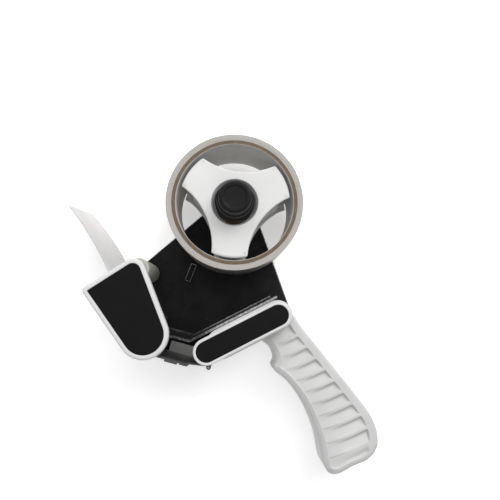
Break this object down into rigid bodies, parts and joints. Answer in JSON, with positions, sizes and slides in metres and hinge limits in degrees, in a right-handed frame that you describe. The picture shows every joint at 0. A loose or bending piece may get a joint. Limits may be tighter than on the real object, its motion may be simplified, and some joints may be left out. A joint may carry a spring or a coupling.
{
  "type": "tape dispenser",
  "caption": "Hand-held packing-tape dispenser: steel side plate, tape hub with tension knob, roller, wiper flap, guarded serrated blade and a ribbed angled grip.",
  "frame": {"origin": "axis of the tape spindle at the flat back face of the side plate", "axes": "+Z along the spindle, out of the plate; +X rearward along the base; +Y up in use, so the grip points towards -Y; the dispenser lies on the plate's back face"},
  "size_m": [0.1551, 0.2331, 0.07],
  "materials": {
    "black_steel": "gloss black enamel with fine scratches",
    "zinc_steel": "bright zinc",
    "blade_steel": "ground spring steel",
    "dark_steel": "gloss dark enamel",
    "white_plastic": "fine moulded texture",
    "head_plastic": "moulded light grey",
    "grip_plastic": "moulded, soft sheen",
    "hub_plastic": "moulded white",
    "panel_plastic": "flat black inlay",
    "knob_plastic": "moulded matte black",
    "roller_plastic": "moulded warm grey",
    "flap_plastic": "flexible translucent sheet",
    "nylon": "natural nylon",
    "core_board": "wound board",
    "tape_film": "wound clear tape",
    "fibre": "pressed fibre",
    "insert_brass": "turned"
  },
  "bodies": {
    "frame": {"side_frame": "black_steel", "frame_screws": "zinc_steel", "spindle": "zinc_steel", "brake_disc": "zinc_steel", "roller_axle": "zinc_steel", "guard_shell": "white_plastic", "guard_panel": "panel_plastic", "guard_posts": "zinc_steel", "guard_screws": "zinc_steel", "flap_pin": "zinc_steel", "cutting_blade": "blade_steel", "blade_screws": "zinc_steel", "blade_guard_pin": "zinc_steel", "head_body": "head_plastic", "head_cap": "white_plastic", "head_panel": "panel_plastic", "grip_near": "grip_plastic", "grip_far": "grip_plastic", "grip_screws": "zinc_steel", "grip_bolt": "zinc_steel"},
    "hub": {"hub": "hub_plastic", "hub_bushes": "nylon", "friction_washer": "fibre"},
    "tape": {"tape_core": "core_board", "tape_roll": "tape_film"},
    "brake": {"pressure_washer": "zinc_steel", "brake_spring": "zinc_steel"},
    "knob": {"tension_knob": "knob_plastic", "knob_insert": "insert_brass"},
    "roller": {"roller": "roller_plastic", "roller_bushes": "nylon"},
    "flap": {"flap": "flap_plastic", "flap_holder": "zinc_steel", "flap_rivets": "zinc_steel", "flap_spring": "zinc_steel"},
    "blade_guard": {"blade_guard": "dark_steel", "runner_strips": "dark_steel", "blade_guard_spring": "zinc_steel"}
  },
  "joints": [
    {"name": "hub_spin", "type": "hinge", "parent": "frame", "child": "hub", "pos_m": [0, 0, 0.02], "axis": [0, 0, 1], "continuous": true},
    {"name": "tape_slide", "type": "slide", "parent": "hub", "child": "tape", "axis": [0, 0, 1], "range_m": [0, 0.06]},
    {"name": "brake_travel", "type": "slide", "parent": "frame", "child": "brake", "axis": [0, 0, 1], "range_m": [-0.0025, 0.00125], "deforming": ["brake_spring"]},
    {"name": "knob_turn", "type": "hinge", "parent": "brake", "child": "knob", "pos_m": [0, 0, 0.06], "axis": [0, 0, 1], "range_deg": [-725, 365]},
    {"name": "roller_spin", "type": "hinge", "parent": "frame", "child": "roller", "pos_m": [-0.074, -0.0114, 0.028], "axis": [0, 0, 1], "continuous": true},
    {"name": "flap_swing", "type": "hinge", "parent": "frame", "child": "flap", "pos_m": [-0.0892, -0.0152, 0.0275], "axis": [0, 0, 1], "range_deg": [-22, 12], "stiffness_Nm_per_rad": 0.15},
    {"name": "blade_guard_swing", "type": "hinge", "parent": "frame", "child": "blade_guard", "pos_m": [-0.0619, -0.0869, 0.027], "axis": [0, 0, -1], "range_deg": [0, 7.5], "stiffness_Nm_per_rad": 0.2, "springref_deg": -17.19}
  ],
  "couplings": [
    {"joint": "knob_turn", "follows": "brake_travel", "rad_per_m": 5026.5}
  ]
}
